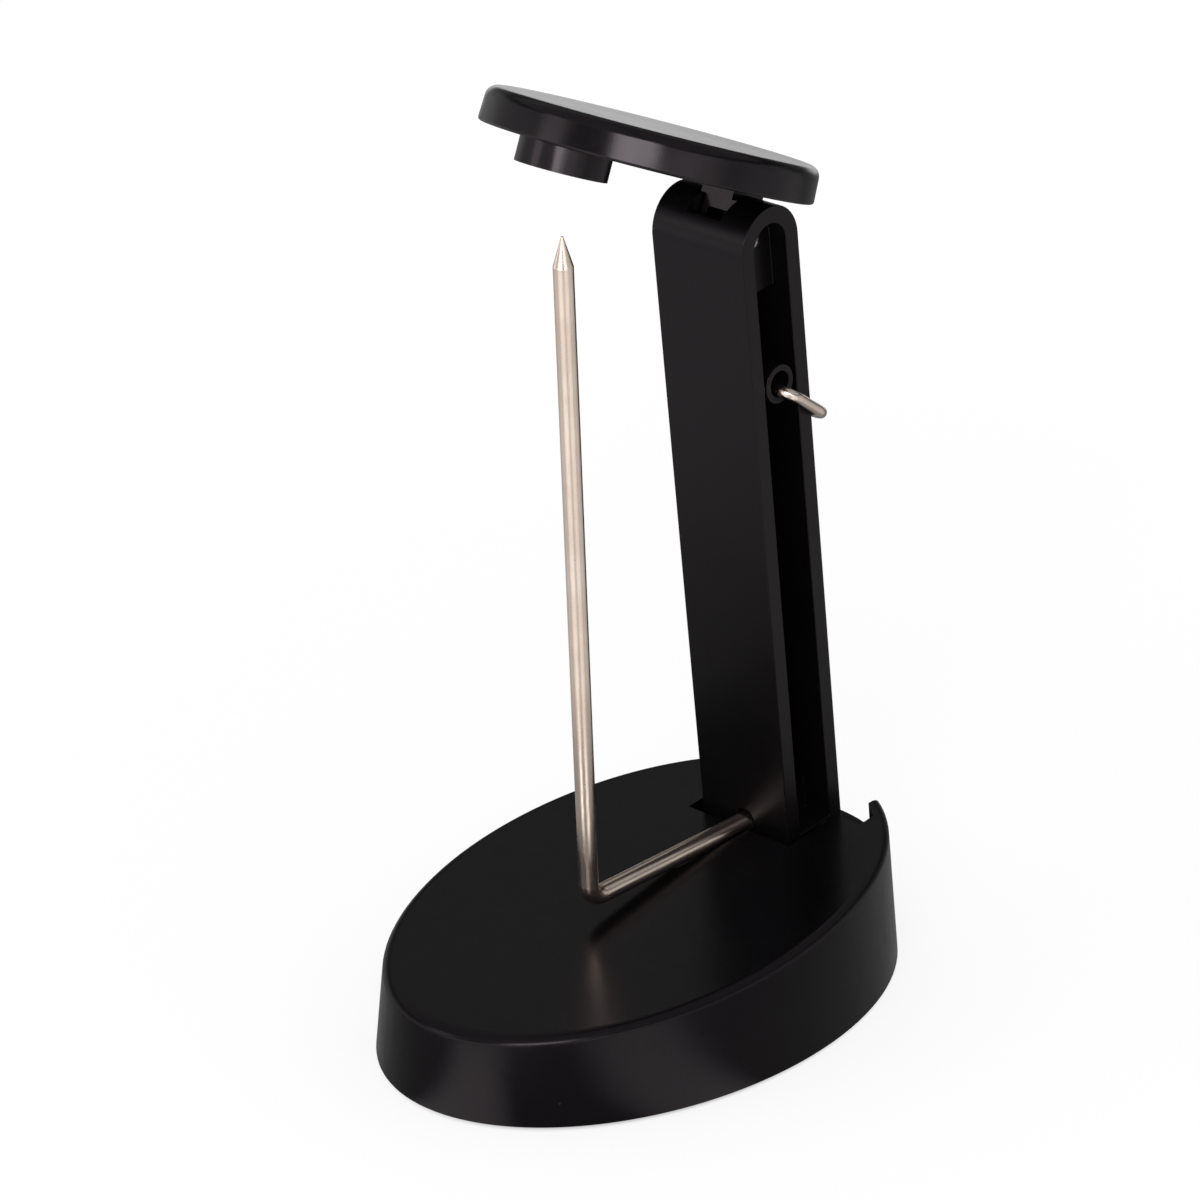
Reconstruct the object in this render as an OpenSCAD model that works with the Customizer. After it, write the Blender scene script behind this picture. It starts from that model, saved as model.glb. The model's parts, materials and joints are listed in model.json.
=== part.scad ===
// Bill spike: weighted oval base, folding arm with a bent wire spike, and a hinged press cap over the tip.
// Origin on the desk at the middle of the base. X to the right, Y to the back, Z up. Millimetres.

/* [Base] */
// Width of the base at desk level
base_width = 74.3; // [70:0.1:82]
// Length of the base at desk level
base_length = 110.4; // [106:0.1:120]
// Height of the sloping top at its middle
base_height = 21.5; // [20:0.1:24]
// Slope of the top, rising to the back, in degrees
base_slope = 5.77; // [4.5:0.01:6.5]
// Draft of the side wall, in degrees
base_draft = 4.1; // [3:0.1:7]
// Rounding of the rim
rim_round = 1.6; // [1:0.1:2.2]
// Thickness of the side wall
base_wall = 2.4; // [2:0.1:3]
// Thickness of the sloping top
top_wall = 3; // [2.8:0.1:3.4]
// Width of the pocket behind the arm
pocket_width = 34.4; // [32:0.1:36]
// Width of the opening in the rear wall
opening_width = 27.4; // [25:0.1:29]

/* [Arm] */
// Width of the arm
arm_width = 20.2; // [18:0.1:21]
// Depth of the arm, front to back
arm_depth = 14.4; // [13.6:0.1:15]
// Distance along the arm from its axle to the cap's pin
arm_length = 117.8; // [105:0.1:130]
// Forward lean of the arm, in degrees
arm_lean = 7.35; // [6:0.01:9]
// Wall of the arm's front, back and round top
arm_wall = 3.1; // [2.6:0.1:3.4]
// Web in the middle of the arm
arm_web = 2.6; // [2:0.1:3.4]
// Distance from the axle to the arm's back face
axle_inset = 3; // [2.8:0.1:3.2]
// Depth of the axle below the sloping top
axle_depth = 4.2; // [4:0.05:4.6]
// Distance from the base's rear edge at desk level to the axle
axle_from_rear = 15.7; // [15:0.1:16]
// Diameter of the axle
axle_diameter = 3; // [2.6:0.1:3.2]
// Gap between the arm and each side of its slot
slot_side_gap = 1.7; // [1.2:0.1:2.2]
// Gap between the arm and the front of its slot
slot_front_gap = 1.95; // [1.8:0.05:2.6]
// Height of the ring's tube above the axle, along the arm
tube_height = 92; // [80:1:96]
// Outside diameter of the ring's tube
tube_diameter = 7; // [6.4:0.1:7.4]
// Bore of the ring's tube
tube_bore = 4.6; // [4:0.1:5]

/* [Spike] */
// Diameter of the spike wire
wire_diameter = 3.5; // [3:0.1:3.6]
// Distance from the arm's front face to the spike's axis, along the leg
spike_reach = 41.2; // [38:0.1:44]
// Height of the spike's leg above the arm's axle
leg_rise = 3.15; // [3:0.05:3.6]
// Radius of the wire's bend at its centreline
bend_radius = 3.2; // [2.6:0.1:6]
// Length of the conical point
tip_length = 5.2; // [4:0.1:8]
// Distance from the cap's pin forward to the point
tip_ahead = 40.3; // [40.2:0.1:41]
// Height of the point above the cap's pin
tip_above = 10.1; // [9.6:0.1:10.6]

/* [Cap] */
// Diameter of the cap
cap_diameter = 57; // [54:0.1:60]
// Thickness of the cap at its rim
cap_thickness = 6.2; // [5.4:0.1:7]
// Rounding of the cap's upper edge
cap_round = 1.9; // [1:0.1:2.2]
// Inward taper of the cap's side, from its underside to its rounding
cap_taper = 0.2; // [0:0.05:0.3]
// Wall of the cap
cap_wall = 2.2; // [1.8:0.1:2.6]
// Rise of the cap's front at rest, in degrees
cap_raise = 21.5; // [18:0.1:24]
// Distance from the cap's pin forward to the middle of the cap
cap_ahead = 25.2; // [24:0.1:27]
// Height of the cap's underside above its pin
cap_lift = 9.2; // [8.6:0.1:10.4]
// Diameter of the tip guard
guard_diameter = 15.6; // [14.4:0.1:15.6]
// Depth of the tip guard below the cap's underside
guard_depth = 4.2; // [3:0.1:4.8]
// Distance from the cap's pin forward to the middle of the tip guard
guard_ahead = 45.6; // [45:0.1:45.6]
// Width of the hinge tongue
tongue_width = 6.8; // [6.4:0.1:7]
// Depth of the hinge tongue, front to back
tongue_depth = 6.8; // [6.2:0.1:7]
// Width of the slot for the tongue
clevis_gap = 7.6; // [7.6:0.1:8.4]
// Diameter of the cap's pin
cap_pin_diameter = 2.5; // [2:0.1:2.6]

/* [Ring] */
// Diameter of the ring's wire
ring_wire = 2; // [1.6:0.1:2.2]
// Distance from the ring's pivot to its far bar
ring_reach = 12; // [11:0.1:15]
// Gap between the arm's side and the ring's leg
ring_side_gap = 1.4; // [1:0.1:2]
// Radius of the ring's near corners
ring_near_bend = 2.4; // [2:0.1:2.6]
// Radius of the ring's far corners
ring_far_bend = 3.4; // [3:0.1:3.6]

/* [Underside] */
// Height of the rubber feet below the base
foot_stand = 0.8; // [0.4:0.1:1.2]
// Diameter of the rubber feet
foot_diameter = 10; // [8:0.5:11]
// Thickness of the bottom cover
cover_wall = 3; // [2.8:0.1:3.4]
// Thickness of the steel ballast plate
ballast_thickness = 6; // [3:0.1:6]
// Width of the steel ballast plate
ballast_width = 35; // [28:1:36]
// Length of the steel ballast plate
ballast_length = 66; // [50:1:68]
// Diameter of the cover screws
screw_diameter = 2.8; // [2.4:0.1:3]

/* [Hidden] */
$fn = 64;
small = 0.01;
beyond = 60;
arc_steps = 6;
fit_gap = 0.02;
run_gap = 0.06;
seat_gap = 0.1;
clear_gap = 0.35;

slope_rise = tan(base_slope);
base_stretch = base_length / base_width;
// The drafted wedge stands further back at desk level than at its top, so it is set forward by half of that
draft_skew = slope_rise * base_stretch * tan(base_draft);
desk_half = base_length / 2 - base_stretch * foot_stand * tan(base_draft);
base_shift = desk_half * draft_skew / (1 - draft_skew * draft_skew);
function top_z(y) = base_height + slope_rise * (y + base_shift);

axle_y = base_length / 2 - axle_from_rear;
axle_z = top_z(axle_y) - axle_depth;
axle_radius = axle_diameter / 2;

arm_middle = axle_inset - arm_depth / 2;
arm_front = axle_inset - arm_depth;
arm_round = arm_depth / 2;
arm_inner = arm_round - arm_wall;
foot_drop = 7;
foot_top = 3.6;
block_top = 9.5;
block_width = 9;
cheek_drop = 9.5;
cheek_wall = 2.6;
cheek_face = clevis_gap / 2 + cheek_wall;
tube_recess = 0.2;
tube_reach = arm_width / 2 - tube_recess;
// Notch over the leg where it enters the arm
notch_depth = 1.6;
notch_rise = 0.6;
notch_gap = 0.2;

function arm_y(u, v) = axle_y + u * cos(arm_lean) - v * sin(arm_lean);
function arm_z(u, v) = axle_z + u * sin(arm_lean) + v * cos(arm_lean);
function arm_v(u, z) = (z - axle_z - u * sin(arm_lean)) / cos(arm_lean);
function arm_face(u, z) = arm_y(u, arm_v(u, z));

cap_pin_y = arm_y(arm_middle, arm_length);
cap_pin_z = arm_z(arm_middle, arm_length);
cap_pin_radius = cap_pin_diameter / 2;

slot_half = arm_width / 2 + slot_side_gap;
slot_level = top_z(axle_y - arm_depth);
slot_front = arm_face(arm_front, slot_level) - slot_front_gap;
shelf_ahead = 0.65;
sill_room = 0.7;
shelf_edge = axle_y - shelf_ahead;
sill_z = axle_z - axle_inset - sill_room;
groove_radius = wire_diameter / 2 + clear_gap;
bearing_gap = 0.4;
bearing_inner = slot_half + bearing_gap;
bearing_width = 5;
bearing_wall = 1.4;
bearing_reach = 6;
bearing_drop = 5;
axle_grip = 3;
bearing_outer = max(bearing_inner + bearing_width, pocket_width / 2 + bearing_wall);
bearing_radius = axle_radius + bearing_wall;
bearing_front = axle_y - bearing_reach;
axle_half = bearing_inner + axle_grip;
post_inner = bearing_inner + bearing_gap;
post_half = axle_radius - seat_gap;

wire_radius = wire_diameter / 2;
leg_z = axle_z + leg_rise;
leg_gap = 0.2;
leg_end = axle_y - axle_radius - wire_radius - leg_gap;
corner_y = arm_face(arm_front, leg_z) - spike_reach;
tip_y = cap_pin_y - tip_ahead;
tip_z = cap_pin_z + tip_above;
spike_tilt = atan2(corner_y - tip_y, tip_z - leg_z);
bend_turn = 90 - spike_tilt;
bend_tangent = bend_radius * tan(bend_turn / 2);
spike_length = norm([corner_y - tip_y, tip_z - leg_z]) - bend_tangent;
point_radius = 0.2;
// The wire swells by this much in its bend, and its straight parts run this far into it
bend_swell = 0.005;
bend_overlap = 0.1;

cap_radius = cap_diameter / 2;
cap_top = cap_lift + cap_thickness;
cap_ceiling = cap_top - cap_wall;
guard_radius = guard_diameter / 2;
guard_wall = 1;
guard_bore = guard_radius - guard_wall;
rib_wall = 1.4;
tongue_half = tongue_width / 2;
tongue_radius = tongue_depth / 2;
tongue_bridge = 3.9;
tongue_lean = arm_lean + cap_raise;
tongue_skin = 0.5;
tongue_front = 0.8;
slot_back_gap = 0.3;
slot_front_share = 0.73;
// The tongue is thicker at its front just below the cap
nose_reach = tongue_radius + 1.4;
nose_low = cap_lift - 3.2;
slot_open = 2 * arm_round;

spring_wire = 0.7;
spring_radius = 2.3;
spring_pitch = 1.15;
spring_splay = 12;
spring_turns = 3 - (tongue_lean + spring_splay) / 360;
spring_half = spring_turns * spring_pitch / 2;
spring_gap = 0.3;
spring_room = spring_half + spring_wire / 2 + spring_gap;
spring_leg = 6;
spring_rings = 8;
spring_sides = 6;
pocket_floor = 7.4;

ring_radius = ring_wire / 2;
ring_half = arm_width / 2 + ring_side_gap + ring_radius;
ring_sag = tube_bore / 2 - ring_radius - seat_gap;
ring_u = arm_middle - ring_sag * sin(arm_lean);
ring_v = tube_height - ring_sag * cos(arm_lean);
ring_rest_gap = 0.55;
ring_bar_u = axle_inset + ring_radius + ring_rest_gap;
ring_hang = acos((ring_bar_u - ring_u) / ring_reach);

screw_radius = screw_diameter / 2;
screw_head = 2.6;
screw_head_height = 1.5;
screw_grip = 8;
screw_point = 1;
head_bevel = 0.6;
cross_half = 1.6;
cross_wide = 0.35;
cross_deep = 0.9;
boss_radius = screw_radius + 2;
screw_front_x = base_width * 0.3;
screw_front_y = -base_length * 0.26;
screw_rear_x = base_width * 0.335;
screw_rear_y = base_length * 0.2;
screw_places = [[-screw_front_x, screw_front_y], [screw_front_x, screw_front_y],
  [-screw_rear_x, screw_rear_y], [screw_rear_x, screw_rear_y]];
cover_top = foot_stand + cover_wall;
cover_gap = 0.25;
foot_radius = foot_diameter / 2;
foot_sink = 1;
foot_bevel = 0.5;
foot_x = base_width * 0.22;
foot_y = base_length * 0.345;
ballast_y = -base_length * 0.09;
ballast_top = cover_top + ballast_thickness;
peg_radius = 2.5;
peg_spread = ballast_length * 0.32;

plastic = [0.05, 0.05, 0.055];
steel = [0.72, 0.72, 0.70];
zinc = [0.55, 0.56, 0.58];
rubber = [0.10, 0.10, 0.10];

// Points of an arc, from one angle to another
function arc(x, y, r, from, to) =
  [for (i = [0 : arc_steps]) let (a = from + (to - from) * i / arc_steps) [x + r * cos(a), y + r * sin(a)]];

// Oval wedge with drafted sides and a rounded, sloping upper edge, set in from the base's outside
module wedge(inset, top, round) {
  half = base_width / 2 - inset;
  stretch = (base_length / 2 - inset) / half;
  low = -base_height;
  centre_z = top - round;
  centre_r = half - centre_z * tan(base_draft) - round / cos(base_draft);
  multmatrix([[1, 0, 0, 0], [0, stretch, 0, -base_shift], [0, slope_rise * stretch, 1, 0], [0, 0, 0, 1]])
    rotate_extrude()
      polygon(concat([[0, low], [half - low * tan(base_draft), low]],
        arc(centre_r, centre_z, round, base_draft, 90), [[0, top]]));
}

// Box from its low corner to its high corner
module block(low, high) {
  translate(low)
    cube(high - low);
}

// Cylinder along X between two stations, in the frame at hand
module cross_rod(r, y, z, from, to) {
  translate([from, y, z])
    rotate([0, 90, 0])
      cylinder(r = r, h = to - from);
}

// The arm's frame: origin on its axle, Z along the arm, Y to its back
module in_arm() {
  translate([0, axle_y, axle_z])
    rotate([arm_lean, 0, 0])
      children();
}

// The cap's frame: origin on its pin, Y to its rear, Z out of its top
module in_cap() {
  translate([0, cap_pin_y, cap_pin_z])
    rotate([-cap_raise, 0, 0])
      children();
}

// A side outline in Y and Z, extruded along X between two stations
module side_profile(from, to) {
  translate([from, 0, 0])
    rotate([90, 0, 90])
      linear_extrude(to - from)
        children();
}

module base_hollow() {
  intersection() {
    wedge(base_wall, base_height - top_wall, 1);
    block([-beyond, -2 * beyond, foot_stand - 1], [beyond, 2 * beyond, beyond]);
  }
}

module base_skin() {
  difference() {
    intersection() {
      wedge(0, base_height, rim_round);
      block([-beyond, -2 * beyond, foot_stand], [beyond, 2 * beyond, beyond]);
    }
    base_hollow();
  }
}

module base_cuts() {
  block([-slot_half, slot_front, axle_z - foot_drop], [slot_half, shelf_edge + small, beyond]);
  intersection() {
    wedge(base_wall, 2 * base_height, 1);
    block([-pocket_width / 2, shelf_edge, axle_z - foot_drop], [pocket_width / 2, beyond, beyond]);
  }
  block([-opening_width / 2, axle_y + bearing_radius, sill_z], [opening_width / 2, 2 * beyond, beyond]);
  translate([0, slot_front + 1, leg_z])
    rotate([90, 0, 0])
      cylinder(r = groove_radius, h = slot_front - corner_y);
}

module axle_bearing(side) {
  low_x = side > 0 ? bearing_inner : -bearing_outer;
  high_x = side > 0 ? bearing_outer : -bearing_inner;
  intersection() {
    wedge(base_wall / 2, base_height - top_wall / 2, 1);
    block([low_x, bearing_front, axle_z - bearing_drop], [high_x, shelf_edge, beyond]);
  }
  block([low_x, shelf_edge - 1, axle_z - bearing_drop], [high_x, axle_y + bearing_radius, axle_z]);
  cross_rod(bearing_radius, axle_y, axle_z, low_x, high_x);
}

module base_bosses() {
  intersection() {
    wedge(base_wall / 2, base_height - top_wall / 2, 1);
    union() {
      for (place = screw_places)
        translate([place[0], place[1], cover_top])
          cylinder(r = boss_radius, h = beyond);
      for (side = [-1, 1])
        block([side * ballast_width / 4 - rib_wall / 2, ballast_y - ballast_length * 0.4, ballast_top + seat_gap],
          [side * ballast_width / 4 + rib_wall / 2, ballast_y + ballast_length * 0.4, beyond]);
    }
  }
}

module base_shell() {
  color(plastic)
    difference() {
      union() {
        difference() {
          base_skin();
          base_cuts();
        }
        axle_bearing(1);
        axle_bearing(-1);
        base_bosses();
      }
      cross_rod(axle_radius + fit_gap, axle_y, axle_z, -axle_half - fit_gap, axle_half + fit_gap);
      block([-axle_half - fit_gap, axle_y - axle_radius - fit_gap, axle_z - bearing_drop - 1],
        [axle_half + fit_gap, axle_y + axle_radius + fit_gap, axle_z]);
      for (place = screw_places)
        translate([place[0], place[1], cover_top - 1])
          cylinder(r = screw_radius + fit_gap, h = screw_grip + 2);
    }
}

module base_cover() {
  color(plastic)
    difference() {
      union() {
        intersection() {
          wedge(base_wall + cover_gap, base_height - top_wall, 1);
          block([-beyond, -2 * beyond, foot_stand], [beyond, 2 * beyond, cover_top]);
        }
        for (side = [-1, 1])
          block([min(side * post_inner, side * axle_half), axle_y - post_half, cover_top - 1],
            [max(side * post_inner, side * axle_half), axle_y + post_half, axle_z - axle_radius - seat_gap]);
        for (end = [-1, 1])
          translate([0, ballast_y + end * peg_spread, cover_top - 1])
            cylinder(r = peg_radius, h = ballast_thickness);
      }
      for (place = screw_places)
        translate([place[0], place[1], 0]) {
          cylinder(r = screw_radius + clear_gap, h = cover_top + 1);
          cylinder(r = screw_head + clear_gap, h = foot_stand + screw_head_height + clear_gap);
        }
      for (x = [-foot_x, foot_x])
        for (y = [-foot_y, foot_y])
          translate([x, y, 0])
            cylinder(r = foot_radius + seat_gap, h = foot_stand + foot_sink);
    }
}

module ballast_plate() {
  color(zinc)
    translate([0, ballast_y, cover_top])
      difference() {
        scale([ballast_width / 2, ballast_length / 2, 1])
          cylinder(r = 1, h = ballast_thickness);
        for (end = [-1, 1])
          translate([0, end * peg_spread, -1])
            cylinder(r = peg_radius + clear_gap, h = ballast_thickness + 2);
      }
}

module cover_screws() {
  head_z = foot_stand + clear_gap;
  color(steel)
    for (place = screw_places)
      translate([place[0], place[1], head_z])
        difference() {
          union() {
            cylinder(r1 = screw_head - head_bevel, r2 = screw_head, h = head_bevel);
            translate([0, 0, head_bevel])
              cylinder(r = screw_head, h = screw_head_height - head_bevel);
            cylinder(r = screw_radius, h = screw_head_height + screw_grip - screw_point);
            translate([0, 0, screw_head_height + screw_grip - screw_point])
              cylinder(r1 = screw_radius, r2 = screw_radius / 2, h = screw_point);
          }
          for (turn = [0, 90])
            rotate(turn)
              block([-cross_half, -cross_wide, -1], [cross_half, cross_wide, cross_deep]);
        }
}

module rubber_foot(x, y) {
  color(rubber)
    translate([x, y, 0]) {
      cylinder(r1 = foot_radius - foot_bevel, r2 = foot_radius, h = foot_bevel);
      translate([0, 0, foot_bevel])
        cylinder(r = foot_radius, h = foot_stand + foot_sink - foot_bevel);
    }
}

module foot_front_left() {
  rubber_foot(-foot_x, -foot_y);
}

module foot_front_right() {
  rubber_foot(foot_x, -foot_y);
}

module foot_rear_left() {
  rubber_foot(-foot_x, foot_y);
}

module foot_rear_right() {
  rubber_foot(foot_x, foot_y);
}

module arm_pin() {
  color(steel)
    cross_rod(axle_radius, axle_y, axle_z, -axle_half, axle_half);
}

// Side outline of the arm: straight foot and a round top about the cap's pin
module arm_outline(inset, low) {
  translate([arm_middle - arm_round + inset, low])
    square([arm_depth - 2 * inset, arm_length - low]);
  translate([arm_middle, arm_length])
    circle(r = arm_round - inset);
}

// Slot for the tongue: floor below the pin, rear slope behind the raised tongue, open front edge
module tongue_slot() {
  back = tongue_radius + slot_back_gap;
  front = arm_round * slot_front_share;
  rise = (arm_inner - back * cos(tongue_lean)) / sin(tongue_lean);
  out = slot_open;
  side_profile(-clevis_gap / 2, clevis_gap / 2)
    translate([arm_middle, arm_length])
      polygon([[-out, front], [-arm_inner, front], [-arm_inner, -pocket_floor],
        [arm_inner, -pocket_floor],
        [arm_inner, rise * cos(tongue_lean) - back * sin(tongue_lean)],
        [back * cos(tongue_lean) + out * sin(tongue_lean), out * cos(tongue_lean) - back * sin(tongue_lean)],
        [-out, out]]);
}

module arm_channel(side) {
  deep = arm_web / 2;
  low_x = side > 0 ? deep : -beyond;
  high_x = side > 0 ? beyond : -deep;
  shallow_low = side > 0 ? cheek_face : -beyond;
  shallow_high = side > 0 ? beyond : -cheek_face;
  difference() {
    side_profile(low_x, high_x)
      translate([arm_middle - arm_inner, foot_top])
        square([2 * arm_inner, arm_length - cheek_drop - foot_top]);
    block([-block_width / 2, arm_front, foot_top - 1], [block_width / 2, axle_inset, block_top]);
  }
  side_profile(shallow_low, shallow_high)
    arm_outline(arm_wall, foot_top);
}

module arm() {
  color(plastic)
    difference() {
      in_arm()
        difference() {
          union() {
            difference() {
              side_profile(-arm_width / 2, arm_width / 2)
                arm_outline(0, -foot_drop);
              arm_channel(1);
              arm_channel(-1);
            }
            cross_rod(tube_diameter / 2, arm_middle, tube_height, -tube_reach, tube_reach);
          }
          tongue_slot();
          cross_rod(tube_bore / 2, arm_middle, tube_height, -beyond, beyond);
          cross_rod(axle_radius + run_gap, 0, 0, -beyond, beyond);
          cross_rod(cap_pin_radius + fit_gap, arm_middle, arm_length, -beyond, beyond);
        }
      translate([0, leg_end + fit_gap, leg_z])
        rotate([90, 0, 0])
          cylinder(r = wire_radius + fit_gap, h = beyond);
      translate([0, arm_face(arm_front, leg_z) + notch_depth, leg_z + notch_rise])
        rotate([90, 0, 0])
          cylinder(r = wire_radius + notch_gap, h = beyond);
    }
}

module spike() {
  bend_y = corner_y + bend_tangent;
  color(steel)
    translate([0, bend_y, leg_z + bend_radius])
      union() {
        rotate([90, 0, 90])
          rotate_extrude(angle = bend_turn, start = 270 - bend_turn)
            translate([bend_radius, 0])
              circle(r = wire_radius, $fn = 32);
        translate([0, -bend_overlap, -bend_radius])
          rotate([-90, 0, 0])
            cylinder(r = wire_radius - bend_swell, h = leg_end - bend_y + bend_overlap);
        rotate([spike_tilt, 0, 0])
          translate([0, -bend_radius, -bend_overlap])
            rotate_extrude()
              polygon([[0, 0], [wire_radius - bend_swell, 0],
                [wire_radius - bend_swell, spike_length - tip_length + bend_overlap],
                [point_radius, spike_length + bend_overlap], [0, spike_length + bend_overlap]]);
      }
}

// Quarter or part turn of round wire about Z, starting along Y at the given angle
module wire_bend(radius, wire, from, turn) {
  rotate([0, 0, from])
    rotate_extrude(angle = turn)
      translate([radius, 0])
        circle(r = wire, $fn = 24);
}

module hanging_ring() {
  near_x = ring_half - ring_near_bend;
  far_x = ring_half - ring_far_bend;
  far_y = ring_reach - ring_far_bend;
  color(steel)
    in_arm()
      translate([0, ring_u, ring_v])
        rotate([-ring_hang, 0, 0]) {
          cross_rod(ring_radius, 0, 0, -near_x, near_x);
          cross_rod(ring_radius, ring_reach, 0, -far_x, far_x);
          for (side = [-1, 1]) {
            translate([side * ring_half, ring_near_bend, 0])
              rotate([-90, 0, 0])
                cylinder(r = ring_radius, h = far_y - ring_near_bend);
            translate([side * near_x, ring_near_bend, 0])
              wire_bend(ring_near_bend, ring_radius, side > 0 ? 270 : 180, 90);
            translate([side * far_x, far_y, 0])
              wire_bend(ring_far_bend, ring_radius, side > 0 ? 0 : 90, 90);
          }
        }
}

module cap_disc() {
  edge = 0.5;
  translate([0, -cap_ahead, 0])
    rotate_extrude($fn = 96)
      polygon(concat([[0, cap_lift]], arc(cap_radius - edge, cap_lift + edge, edge, -90, 0),
        arc(cap_radius - cap_taper - cap_round, cap_top - cap_round, cap_round, 0, 90), [[0, cap_top]]));
}

module cap_hollow() {
  translate([0, -cap_ahead, cap_lift - 1])
    cylinder(r = cap_radius - cap_wall, h = cap_ceiling - cap_lift + 1, $fn = 96);
}

module cap_underside() {
  intersection() {
    translate([0, -cap_ahead, 0])
      cylinder(r = cap_radius - cap_wall / 2, h = cap_ceiling + small, $fn = 96);
    for (side = [-1, 1])
      block([side * (tongue_half - rib_wall / 2) - rib_wall / 2, -guard_ahead, cap_lift],
        [side * (tongue_half - rib_wall / 2) + rib_wall / 2, beyond, cap_ceiling + small]);
  }
  translate([0, -guard_ahead, cap_lift - guard_depth])
    cylinder(r = guard_radius, h = guard_depth + cap_ceiling - cap_lift + small);
  block([-tongue_half, -tongue_radius, 0], [tongue_half, tongue_radius, cap_ceiling + small]);
  block([-tongue_half, -nose_reach, nose_low], [tongue_half, 0, cap_ceiling + small]);
  cross_rod(tongue_radius, 0, 0, -tongue_half, tongue_half);
}

module cap() {
  color(plastic)
    in_cap()
      difference() {
        union() {
          difference() {
            cap_disc();
            cap_hollow();
          }
          cap_underside();
        }
        translate([0, -guard_ahead, cap_lift - guard_depth - 1])
          cylinder(r = guard_bore, h = guard_depth + 1 + cap_ceiling - cap_lift);
        cross_rod(cap_pin_radius + run_gap, 0, 0, -beyond, beyond);
        block([-spring_room, -beyond, -tongue_radius - 1], [spring_room, beyond, tongue_bridge]);
        block([-spring_room, tongue_front, 0],
          [spring_room, tongue_radius - tongue_skin, tongue_bridge + spring_leg]);
      }
}

module cap_pin() {
  color(steel)
    cross_rod(cap_pin_radius, cap_pin_y, cap_pin_z, -cheek_face, cheek_face);
}

// Centreline of the torsion spring in the cap's frame: free leg in the tongue, coils about the pin, fixed leg
// down the back of the arm's slot
function spring_coil(t) = [-spring_half + t * spring_pitch,
  spring_radius * cos(360 * t), -spring_radius * sin(360 * t)];
spring_way = [0, sin(tongue_lean + spring_splay), -cos(tongue_lean + spring_splay)];
spring_path = concat([spring_coil(0) + [0, 0, spring_leg]],
  [for (i = [0 : floor(spring_turns * spring_rings)]) spring_coil(i / spring_rings)],
  [spring_coil(spring_turns), spring_coil(spring_turns) + spring_leg * spring_way]);

// Least gap between neighbouring coils
spring_least = min([for (i = [0 : len(spring_path) - 1], j = [i + spring_rings - 2 : 1 : len(spring_path) - 1])
  norm(spring_path[i] - spring_path[j])]) - spring_wire;
echo(spring_least = spring_least);

function unit(v) = v / norm(v);
function path_way(i) = unit(spring_path[min(i + 1, len(spring_path) - 1)] - spring_path[max(i - 1, 0)]);
function path_ring(i) = let (w = path_way(i), a = unit(cross(w, [1, 0, 0.0001])), b = cross(w, a))
  [for (k = [0 : spring_sides - 1]) let (t = 360 * k / spring_sides)
    spring_path[i] + spring_wire / 2 * (a * cos(t) + b * sin(t))];

module cap_spring() {
  rings = len(spring_path);
  last = (rings - 1) * spring_sides;
  points = [for (i = [0 : rings - 1]) each path_ring(i)];
  sides = [for (i = [0 : rings - 2], k = [0 : spring_sides - 1])
    let (a = i * spring_sides + k, b = i * spring_sides + (k + 1) % spring_sides)
      [a, a + spring_sides, b + spring_sides, b]];
  color(steel)
    in_cap()
      polyhedron(points, concat([[for (k = [0 : spring_sides - 1]) k]], sides,
        [[for (k = [spring_sides - 1 : -1 : 0]) last + k]]));
}

base_shell();
base_cover();
ballast_plate();
cover_screws();
foot_front_left();
foot_front_right();
foot_rear_left();
foot_rear_right();
arm_pin();
arm();
spike();
hanging_ring();
cap();
cap_pin();
cap_spring();
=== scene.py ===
"""Looks of the bill spike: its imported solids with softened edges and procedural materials, in a white studio.

Lengths are in metres. Azimuth 0 is the object's front and 90 its right, in degrees.
"""

import json
import math

import bpy
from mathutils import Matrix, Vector

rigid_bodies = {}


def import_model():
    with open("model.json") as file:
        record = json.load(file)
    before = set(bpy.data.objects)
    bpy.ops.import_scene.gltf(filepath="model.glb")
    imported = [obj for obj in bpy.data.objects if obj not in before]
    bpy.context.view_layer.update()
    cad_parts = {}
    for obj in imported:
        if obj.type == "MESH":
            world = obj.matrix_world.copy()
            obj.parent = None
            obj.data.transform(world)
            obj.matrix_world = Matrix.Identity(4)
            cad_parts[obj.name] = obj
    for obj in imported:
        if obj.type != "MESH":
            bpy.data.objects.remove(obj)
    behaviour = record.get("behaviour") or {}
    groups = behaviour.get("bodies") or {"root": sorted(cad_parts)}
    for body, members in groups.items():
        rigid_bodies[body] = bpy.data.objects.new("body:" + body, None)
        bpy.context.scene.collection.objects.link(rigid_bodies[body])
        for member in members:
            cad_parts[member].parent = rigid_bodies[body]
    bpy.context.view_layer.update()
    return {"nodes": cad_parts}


for left_over in list(bpy.data.objects):
    bpy.data.objects.remove(left_over)

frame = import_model()
nodes = frame["nodes"]
scene = bpy.context.scene
scene.view_settings.view_transform = "Standard"

# The camera, solved from the base's oval, the arm and the cap in the photograph
CAMERA_AZIMUTH = 42.445
CAMERA_ELEVATION = 23.913
CAMERA_DISTANCE = 0.86695
CAMERA_TARGET = Vector((-0.009877, -0.0001, 0.0737716))
CAMERA_LENS = 151.1
SENSOR_WIDTH = 36.0
CLIP_START, CLIP_END = 0.01, 50.0

# Heights on the spike: where its wire is upright, and where its conical point starts
UPRIGHT_START = 0.0283
POINT_START = 0.1426
# Half width and half length of the base's oval at the floor
BASE_HALF_WIDTH, BASE_HALF_LENGTH = 0.0371, 0.0552

# The range that a noise texture mostly stays in
NOISE_LOW, NOISE_HIGH = 0.3, 0.7

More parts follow.
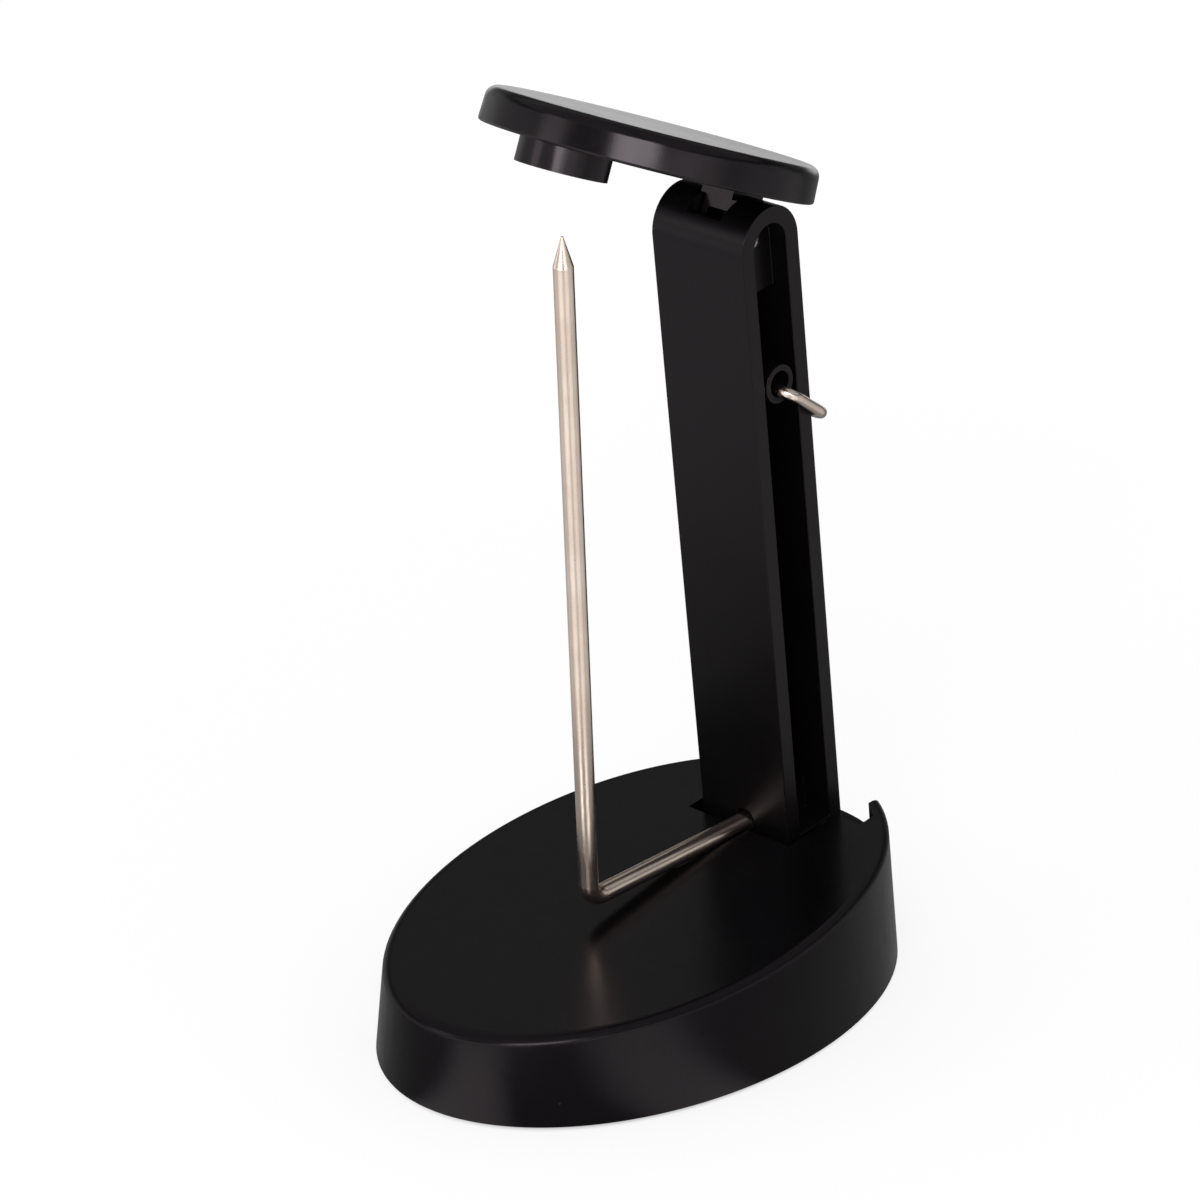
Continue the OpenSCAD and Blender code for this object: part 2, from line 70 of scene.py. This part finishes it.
BLACK, BLACK_WORN = (0.0019, 0.0017, 0.0021, 1), (0.0027, 0.0024, 0.0028, 1)
COVER_BLACK, COVER_WORN = (0.0030, 0.0029, 0.0031, 1), (0.0046, 0.0044, 0.0047, 1)
RUBBED_BLACK = (0.010, 0.010, 0.0105, 1)
PLASTIC_DUST = (0.024, 0.023, 0.022, 1)
PLASTIC_GLINT = (1.0, 0.87, 0.95, 1)
PLASTIC_IOR = 1.5
NICKEL, NICKEL_WARM = (0.94, 0.79, 0.68, 1), (0.86, 0.71, 0.60, 1)
RING_NICKEL, RING_WARM = (0.94, 0.81, 0.72, 1), (0.86, 0.73, 0.64, 1)
DRAWN_LINE = (0.42, 0.37, 0.33, 1)
NICKEL_PIT = (0.22, 0.19, 0.17, 1)
PIN_STEEL, PIN_DULL = (0.84, 0.82, 0.79, 1), (0.72, 0.69, 0.65, 1)
SCREW_STEEL, SCREW_DULL = (0.66, 0.66, 0.65, 1), (0.50, 0.49, 0.46, 1)
BALLAST_STEEL, BALLAST_DULL = (0.30, 0.29, 0.28, 1), (0.20, 0.17, 0.15, 1)
SPRING_STEEL, SPRING_DULL = (0.50, 0.49, 0.48, 1), (0.36, 0.34, 0.32, 1)
RUBBER, RUBBER_DUSTY = (0.012, 0.012, 0.012, 1), (0.028, 0.027, 0.026, 1)
RUBBER_DUST = (0.10, 0.095, 0.09, 1)
WHITE = (1, 1, 1, 1)
# The floor's colour to most rays, to the camera and to mirroring faces. To mirroring faces it is nearly black,
# painted shade in what they mirror of the floor between its pools of light
PAPER, PAPER_SEEN, PAPER_MIRRORED = (0.70, 0.70, 0.70, 1), (0.22, 0.22, 0.22, 1), (0.05, 0.05, 0.05, 1)


def direction(azimuth, elevation):
    """Unit vector from the object towards that side."""
    a, e = math.radians(azimuth), math.radians(elevation)
    return Vector((math.sin(a) * math.cos(e), -math.cos(a) * math.cos(e), math.sin(e)))


def facing(place, target):
    """Rotation that points an object's -Z from place at target."""
    return (target - place).to_track_quat("-Z", "Y").to_euler()


class Graph:
    """A node tree under construction: nodes are added by kind, with values or sockets for their inputs."""

    def __init__(self, tree):
        self.tree = tree
        self.tree.nodes.clear()

    def add(self, kind, sockets=None, **settings):
        node = self.tree.nodes.new(kind)
        for key, value in settings.items():
            setattr(node, key, value)
        for key, value in (sockets or {}).items():
            if isinstance(value, bpy.types.NodeSocket):
                self.tree.links.new(value, node.inputs[key])
            else:
                node.inputs[key].default_value = value
        return node

    def calc(self, operation, a, b, clamp=False):
        return self.add("ShaderNodeMath", {0: a, 1: b}, operation=operation, use_clamp=clamp).outputs[0]

    def times(self, a, b):
        return self.calc("MULTIPLY", a, b)

    def total(self, first, *others):
        for other in others:
            first = self.calc("ADD", first, other)
        return first

    def vector(self, operation, a, b=(0.0, 0.0, 0.0)):
        return self.add("ShaderNodeVectorMath", {0: a, 1: b}, operation=operation).outputs["Vector"]

    def length(self, a):
        return self.add("ShaderNodeVectorMath", {0: a}, operation="LENGTH").outputs["Value"]

    def span(self, value, low, high, to_low=0.0, to_high=1.0):
        """value carried smoothly from low..high to to_low..to_high, and held there outside it."""
        return self.add("ShaderNodeMapRange", {0: value, 1: low, 2: high, 3: to_low, 4: to_high},
                        interpolation_type="SMOOTHSTEP").outputs[0]

    def sway(self, noise, low=0.0, high=1.0):
        """A noise carried to low..high."""
        return self.span(noise, NOISE_LOW, NOISE_HIGH, low, high)

    def mix(self, share, a, b):
        """Colour from a to b."""
        return self.add("ShaderNodeMix", {0: share, 6: a, 7: b}, data_type="RGBA").outputs[2]

    def blend(self, share, a, b):
        """Value from a to b."""
        return self.add("ShaderNodeMix", {0: share, 2: a, 3: b}).outputs[0]

    def coords(self, kind):
        return self.add("ShaderNodeTexCoord").outputs[kind]

    def height(self, where):
        return self.add("ShaderNodeSeparateXYZ", {0: where}).outputs[2]

    def place(self, stretch=(1.0, 1.0, 1.0), turn=(0.0, 0.0, 0.0)):
        """Object coordinates, stretched along their axes and turned."""
        return self.add("ShaderNodeMapping", {"Vector": self.coords("Object"), "Scale": stretch,
                                              "Rotation": turn}).outputs[0]

    def noise(self, where, scale, detail=2.0, rough=0.5):
        return self.add("ShaderNodeTexNoise", {"Vector": where, "Scale": scale, "Detail": detail,
                                               "Roughness": rough}).outputs[0]

    def specks(self, where, scale, size, share):
        """Mask of small round specks: size is their radius against their spacing, share how many are kept."""
        cells = self.add("ShaderNodeTexVoronoi", {"Vector": where, "Scale": scale})
        dot = self.span(cells.outputs["Distance"], size * 0.5, size, 1.0, 0.0)
        pick = self.add("ShaderNodeSeparateColor", {0: cells.outputs["Color"]}).outputs[0]
        return self.times(dot, self.calc("LESS_THAN", pick, share))

    def bump(self, height, depth, strength=1.0, under=None):
        """Normal of a relief of that depth, on top of the normal under it."""
        sockets = {"Height": height, "Distance": depth, "Strength": strength}
        if under is not None:
            sockets["Normal"] = under
        return self.add("ShaderNodeBump", sockets).outputs[0]


def surface(name, paint):
    """A material whose Principled shader is filled by paint(graph, sockets)."""
    material = bpy.data.materials.new(name)
    material.use_nodes = True
    graph = Graph(material.node_tree)
    sockets = {}
    paint(graph, sockets)
    shader = graph.add("ShaderNodeBsdfPrincipled", sockets)
    graph.add("ShaderNodeOutputMaterial", {"Surface": shader.outputs[0]})
    return material


def moulded(colour, worn, rough, level):
    """Black moulded plastic: spark-eroded grain, slow flow marks, faint rubbing lines and a few dust specks."""
    def paint(graph, sockets):
        where = graph.place()
        flow = graph.noise(where, scale=38)
        mottle = graph.noise(where, scale=420, detail=3)
        grain = graph.noise(where, scale=3400, rough=0.6)
        rub = graph.noise(graph.place(stretch=(1.0, 0.08, 0.35), turn=(0.3, 0.5, 0.9)), scale=1500, detail=1)
        lines = graph.span(rub, 0.66, 0.74)
        dust = graph.specks(where, scale=420, size=0.11, share=0.03)
        tint = graph.mix(graph.sway(flow), colour, worn)
        tint = graph.mix(graph.times(lines, 0.10), tint, RUBBED_BLACK)
        sockets["Base Color"] = graph.mix(graph.times(dust, 0.5), tint, PLASTIC_DUST)
        wave = graph.total(graph.sway(flow, -0.02, 0.02), graph.sway(mottle, -0.015, 0.015),
                           graph.times(lines, -0.03), graph.times(dust, 0.2))
        sockets["Roughness"] = graph.calc("ADD", wave, rough, clamp=True)
        slow = graph.bump(mottle, depth=0.00002, strength=0.25)
        sockets["Normal"] = graph.bump(grain, depth=0.000006, under=slow)
        sockets["Specular IOR Level"] = level
        sockets["Specular Tint"] = PLASTIC_GLINT
        sockets["IOR"] = PLASTIC_IOR
    return paint


def plated(bright, warm, rough, upright=None, point=None):
    """Nickel plated wire: drawing lines along the wire, soft cloudy patches and small pits.

    Its lines run along Y, and above the height upright along Z. It is smoother above the height point.
    """
    def paint(graph, sockets):
        where = graph.place()
        height = graph.height(where)
        drawn = graph.noise(graph.place(stretch=(1.0, 0.03, 1.0)), scale=5200, detail=3, rough=0.6)
        if upright is not None:
            along_up = graph.noise(graph.place(stretch=(1.0, 1.0, 0.03)), scale=5200, detail=3, rough=0.6)
            drawn = graph.blend(graph.span(height, upright, upright + 0.002), drawn, along_up)
        cloud = graph.noise(where, scale=120, detail=3)
        pits = graph.specks(where, scale=900, size=0.16, share=0.10)
        tint = graph.mix(graph.span(cloud, 0.35, 0.65), bright, warm)
        tint = graph.mix(graph.span(drawn, 0.6, 0.75, 0.0, 0.25), tint, DRAWN_LINE)
        sockets["Base Color"] = graph.mix(graph.times(pits, 0.5), tint, NICKEL_PIT)
        polish = rough
        if point is not None:
            polish = graph.span(height, point - 0.0003, point + 0.0003, rough, rough - 0.12)
        wave = graph.total(graph.sway(cloud, -0.04, 0.05), graph.sway(drawn, -0.03, 0.05),
                           graph.times(pits, 0.2), polish)
        sockets["Roughness"] = graph.calc("MAXIMUM", wave, 0.05)
        sockets["Metallic"] = 1.0
        pitted = graph.bump(pits, depth=-0.00002, strength=0.6)
        sockets["Normal"] = graph.bump(drawn, depth=0.00002, strength=0.7, under=pitted)
    return paint


def turned(colour, dull, rough):
    """Plain steel: stain and fine lines along X."""
    def paint(graph, sockets):
        stain = graph.noise(graph.place(), scale=300, detail=4)
        lines = graph.noise(graph.place(stretch=(0.08, 1.0, 1.0)), scale=6000, rough=0.6)
        sockets["Base Color"] = graph.mix(graph.span(stain, 0.35, 0.7), colour, dull)
        wave = graph.total(graph.sway(stain, -0.06, 0.08), graph.sway(lines, -0.05, 0.05))
        sockets["Roughness"] = graph.calc("ADD", wave, rough, clamp=True)
        sockets["Metallic"] = 1.0
        sockets["Normal"] = graph.bump(lines, depth=0.00002, strength=0.8)
    return paint


def rubber(colour, dusty):
    """Black rubber: matt grained skin with dust in it."""
    def paint(graph, sockets):
        where = graph.place()
        dust = graph.noise(where, scale=260, detail=4)
        grain = graph.noise(where, scale=2400)
        tint = graph.mix(graph.span(dust, 0.45, 0.75), colour, dusty)
        specks = graph.specks(where, scale=900, size=0.18, share=0.12)
        sockets["Base Color"] = graph.mix(specks, tint, RUBBER_DUST)
        sockets["Roughness"] = graph.sway(dust, 0.72, 0.9)
        sockets["Normal"] = graph.bump(grain, depth=0.00004, strength=0.8)
    return paint


MATERIALS = {
    "base_plastic": moulded(BLACK, BLACK_WORN, rough=0.24, level=0.22),
    "arm_plastic": moulded(BLACK, BLACK_WORN, rough=0.34, level=0.24),
    "cap_plastic": moulded(BLACK, BLACK_WORN, rough=0.20, level=0.31),
    "cover_plastic": moulded(COVER_BLACK, COVER_WORN, rough=0.42, level=0.34),
    "bright_wire": plated(NICKEL, NICKEL_WARM, rough=0.20, upright=UPRIGHT_START, point=POINT_START),
    "ring_wire": plated(RING_NICKEL, RING_WARM, rough=0.18),
    "pin_steel": turned(PIN_STEEL, PIN_DULL, rough=0.22),
    "screw_steel": turned(SCREW_STEEL, SCREW_DULL, rough=0.30),
    "ballast_steel": turned(BALLAST_STEEL, BALLAST_DULL, rough=0.48),
    "foot_rubber": rubber(RUBBER, RUBBER_DUSTY),
    "spring_wire": turned(SPRING_STEEL, SPRING_DULL, rough=0.32),
}
materials = {name: surface(name + "_look", paint) for name, paint in MATERIALS.items()}

# Points closer than this are one, and facets that meet flatter than this are one face
WELD_REACH = 2e-6
FLAT_ANGLE = math.radians(0.4)
# Edges sharper than this get a radius, in this many steps
EDGE_ANGLE = math.radians(28.0)
EDGE_STEPS = 2


def soften(node, width):
    """Small moulded or tumbled radii on a solid's sharp edges."""
    piece = nodes[node]
    weld = piece.modifiers.new("weld", "WELD")
    weld.merge_threshold = WELD_REACH
    flat = piece.modifiers.new("flat", "DECIMATE")
    flat.decimate_type = "DISSOLVE"
    flat.angle_limit = FLAT_ANGLE
    bevel = piece.modifiers.new("edges", "BEVEL")
    bevel.width = width
    bevel.segments = EDGE_STEPS
    bevel.limit_method = "ANGLE"
    bevel.angle_limit = EDGE_ANGLE
    bevel.harden_normals = True
    # Clamped, the arm's shortest edges would hold all its radii near zero
    bevel.use_clamp_overlap = node != "arm"
    bevel.miter_outer = "MITER_ARC"
    shade = piece.modifiers.new("shade", "WEIGHTED_NORMAL")
    shade.keep_sharp = True


# Each node's material, and the radius of its edges where it gets one here
FINISH = {
    "base_shell": ("base_plastic", 0.0003),
    "base_cover": ("cover_plastic", 0.0003),
    "ballast_plate": ("ballast_steel", 0.0003),
    "cover_screws": ("screw_steel", None),
    "foot_front_left": ("foot_rubber", 0.0002),
    "foot_front_right": ("foot_rubber", 0.0002),
    "foot_rear_left": ("foot_rubber", 0.0002),
    "foot_rear_right": ("foot_rubber", 0.0002),
    "arm_pin": ("pin_steel", 0.0002),
    "arm": ("arm_plastic", 0.00018),
    "spike": ("bright_wire", None),
    "hanging_ring": ("ring_wire", None),
    "cap": ("cap_plastic", 0.0004),
    "cap_pin": ("pin_steel", 0.0002),
    "cap_spring": ("spring_wire", None),
}
for node, (finish, radius) in FINISH.items():
    for slot in nodes[node].material_slots:
        slot.material = materials[finish]
    if radius:
        soften(node, radius)

# The studio as mirroring faces see it: pools of light, each as azimuth, cosine of the angle to its edge and level
POOLS = ((30, -0.45, 0.40), (4, 0.84, 0.42), (72, 0.87, 0.36), (132, 0.78, 0.33), (-75, 0.60, 0.30))
POOL_GROUND, POOL_CORE = 0.12, 0.98
# The same on the floor close around the base, and how far out the first ones take over
NEAR_POOLS = ((7, 0.972, 1.25), (60, 0.945, 0.90))
NEAR_GROUND, NEAR_CORE = 0.21, 0.999
NEAR_FADE = (0.085, 0.14)
# More pools on the floor far out, and where they fade in
FAR_POOLS = ((215, 0.86, 0.90), (-40, 0.45, 0.55))
FAR_FADE = (0.45, 0.85)
# A bright band along the walls, and the heights that it fades in and out over
BAND_AZIMUTH, BAND_EDGE, BAND_LEVEL = 20, 0.0, 0.85
BAND_FOOT, BAND_TOP = (0.03, 0.12), (0.25, 0.34)
# Cosines for the dark gap in the walls' light where the camera stands
GAP_EDGE, GAP_CORE = 0.9900, 0.9985
# Levels that change over a height, each as where from, where to, and the level at both
ROOM_LIGHT = (0.0, 0.8, 0.62, 0.80)
WALL_FADE = (0.22, 0.38, 1.0, 0.2)
CEILING_LIGHT = (0.42, 0.55, 0.0, 0.26)
# The same over the distance from the object's middle: painted shade that dims the floor's pools close around the
# base, and the camera's white, a little paler further out. Last, the part of the base's oval that the glow starts
# at, which paints a shadow under the base and at its edge
BASE_SHADE = (0.06, 0.16, 0.6, 1.0)
FLOOR_WHITE = (0.10, 0.60, 0.80, 0.84)
UNDER_BASE_SHADOW = (0.93, 1.0)

FLOOR_REACH = 6.0
FLOOR_RINGS, FLOOR_SIDES = 6, 48
LAMP_TARGET = Vector((0.0, 0.0, 0.08))


def toward(graph, way, azimuth, edge, core=POOL_CORE):
    """1 where way leads to that azimuth, down to 0 where the cosine between them is edge."""
    flat = graph.vector("NORMALIZE", graph.vector("MULTIPLY", way, (1.0, 1.0, 0.0)))
    near = graph.add("ShaderNodeVectorMath", {0: flat, 1: tuple(direction(azimuth, 0))},
                     operation="DOT_PRODUCT").outputs["Value"]
    return graph.span(near, edge, core)


def pool_light(graph, way, pools, ground, core):
    """Level of the studio's pools in the direction of way, ground between them."""
    level = ground
    for azimuth, edge, peak in pools:
        level = graph.total(level, graph.times(toward(graph, way, azimuth, edge, core), peak))
    return level


def mirrored_rays(graph, rays):
    """1 for rays that come by way of a mirroring or clear face."""
    return graph.calc("MAXIMUM", rays["Is Glossy Ray"], rays["Is Transmission Ray"])


def floor_mesh():
    """Flat disc of rings, finer towards its middle."""
    turns = [t * math.tau / FLOOR_SIDES for t in range(FLOOR_SIDES)]
    points = [(0.0, 0.0, 0.0)]
    for r in range(1, FLOOR_RINGS + 1):
        radius = FLOOR_REACH * (r / FLOOR_RINGS) ** 2
        points += [(radius * math.cos(t), radius * math.sin(t), 0.0) for t in turns]
    following = [(t, (t + 1) % FLOOR_SIDES) for t in range(FLOOR_SIDES)]
    faces = [(0, 1 + a, 1 + b) for a, b in following]
    for r in range(FLOOR_RINGS - 1):
        near, far = 1 + r * FLOOR_SIDES, 1 + (r + 1) * FLOOR_SIDES
        faces += [(near + a, far + a, far + b, near + b) for a, b in following]
    mesh = bpy.data.meshes.new("floor")
    mesh.from_pydata(points, [], faces)
    return mesh


def floor_glow(graph, rays, mirrored):
    """What the floor gives off: white to the camera and pools of light to mirroring faces, with painted shade close
    around the base and a painted shadow under it, where it gives off nothing.
    """
    spot = graph.coords("Object")
    away = graph.length(spot)
    pools = pool_light(graph, spot, POOLS, POOL_GROUND, POOL_CORE)
    # Painted shade: the pools are dimmer close around the base
    pools = graph.times(pools, graph.span(away, *BASE_SHADE))
    for azimuth, edge, level in FAR_POOLS:
        far = graph.span(away, *FAR_FADE, 0.0, level)
        pools = graph.total(pools, graph.times(toward(graph, spot, azimuth, edge), far))
    close = pool_light(graph, spot, NEAR_POOLS, NEAR_GROUND, NEAR_CORE)
    pools = graph.blend(graph.span(away, *NEAR_FADE), close, pools)
    white = graph.times(rays["Is Camera Ray"], graph.span(away, *FLOOR_WHITE))
    glow = graph.total(white, graph.times(mirrored, pools))
    # Painted shadow: no glow under the base's oval, fading in at its edge
    oval = graph.length(graph.vector("MULTIPLY", spot, (1 / BASE_HALF_WIDTH, 1 / BASE_HALF_LENGTH, 0.0)))
    return graph.times(glow, graph.span(oval, *UNDER_BASE_SHADOW))


def make_floor():
    """Wide pale floor: the camera sees it white with a faint shadow, and mirroring faces see its pools of light."""
    material = bpy.data.materials.new("floor_white")
    material.use_nodes = True
    graph = Graph(material.node_tree)
    rays = graph.add("ShaderNodeLightPath").outputs
    mirrored = mirrored_rays(graph, rays)
    paper = graph.mix(rays["Is Camera Ray"], PAPER, PAPER_SEEN)
    # Painted shade: mirroring faces see the floor nearly black between its pools
    paper = graph.mix(mirrored, paper, PAPER_MIRRORED)
    matt = graph.add("ShaderNodeBsdfDiffuse", {"Color": paper})
    shine = graph.add("ShaderNodeEmission", {"Color": WHITE, "Strength": floor_glow(graph, rays, mirrored)})
    both = graph.add("ShaderNodeAddShader", {0: matt.outputs[0], 1: shine.outputs[0]})
    graph.add("ShaderNodeOutputMaterial", {"Surface": both.outputs[0]})
    mesh = floor_mesh()
    mesh.materials.append(material)
    floor = bpy.data.objects.new("floor", mesh)
    scene.collection.objects.link(floor)


def make_world():
    """Even room light. Mirroring faces see the walls' pools and a pale ceiling, and the camera sees white."""
    world = bpy.data.worlds.new("studio")
    scene.world = world
    world.use_nodes = True
    graph = Graph(world.node_tree)
    way = graph.coords("Generated")
    height = graph.height(way)
    rays = graph.add("ShaderNodeLightPath").outputs
    room = graph.span(height, *ROOM_LIGHT)
    walls = pool_light(graph, way, POOLS, POOL_GROUND, POOL_CORE)
    walls = graph.times(walls, graph.span(height, *WALL_FADE))
    band = graph.times(graph.span(height, *BAND_FOOT), graph.span(height, *BAND_TOP, BAND_LEVEL, 0.0))
    walls = graph.total(walls, graph.times(band, toward(graph, way, BAND_AZIMUTH, BAND_EDGE)))
    gap = graph.calc("SUBTRACT", 1.0, toward(graph, way, CAMERA_AZIMUTH, GAP_EDGE, GAP_CORE))
    ceiling = graph.span(height, *CEILING_LIGHT)
    studio = graph.total(graph.times(walls, gap), ceiling)
    level = graph.blend(mirrored_rays(graph, rays), room, studio)
    level = graph.calc("MAXIMUM", level, rays["Is Camera Ray"])
    back = graph.add("ShaderNodeBackground", {"Color": WHITE, "Strength": level})
    graph.add("ShaderNodeOutputWorld", {"Surface": back.outputs[0]})


def softbox(name, azimuth, elevation, away, wide, high, power):
    """Rectangular lamp on that side of the object, facing it."""
    light = bpy.data.lights.new(name, "AREA")
    light.shape = "RECTANGLE"
    light.size = wide
    light.size_y = high
    light.energy = power
    lamp = bpy.data.objects.new(name, light)
    lamp.location = LAMP_TARGET + direction(azimuth, elevation) * away
    lamp.rotation_euler = facing(lamp.location, LAMP_TARGET)
    scene.collection.objects.link(lamp)


def make_camera():
    """The photograph's camera."""
    data = bpy.data.cameras.new("photo_camera")
    data.sensor_width = SENSOR_WIDTH
    data.sensor_fit = "HORIZONTAL"
    data.lens = CAMERA_LENS
    data.clip_start = CLIP_START
    data.clip_end = CLIP_END
    camera = bpy.data.objects.new("photo_camera", data)
    camera.location = CAMERA_TARGET + direction(CAMERA_AZIMUTH, CAMERA_ELEVATION) * CAMERA_DISTANCE
    camera.rotation_euler = facing(camera.location, CAMERA_TARGET)
    scene.collection.objects.link(camera)
    scene.camera = camera


make_camera()
make_floor()
make_world()
softbox("key_box", azimuth=34, elevation=26, away=1.10, wide=0.56, high=0.32, power=3.9)
softbox("side_box", azimuth=-30, elevation=24, away=1.10, wide=0.36, high=0.40, power=0.63)
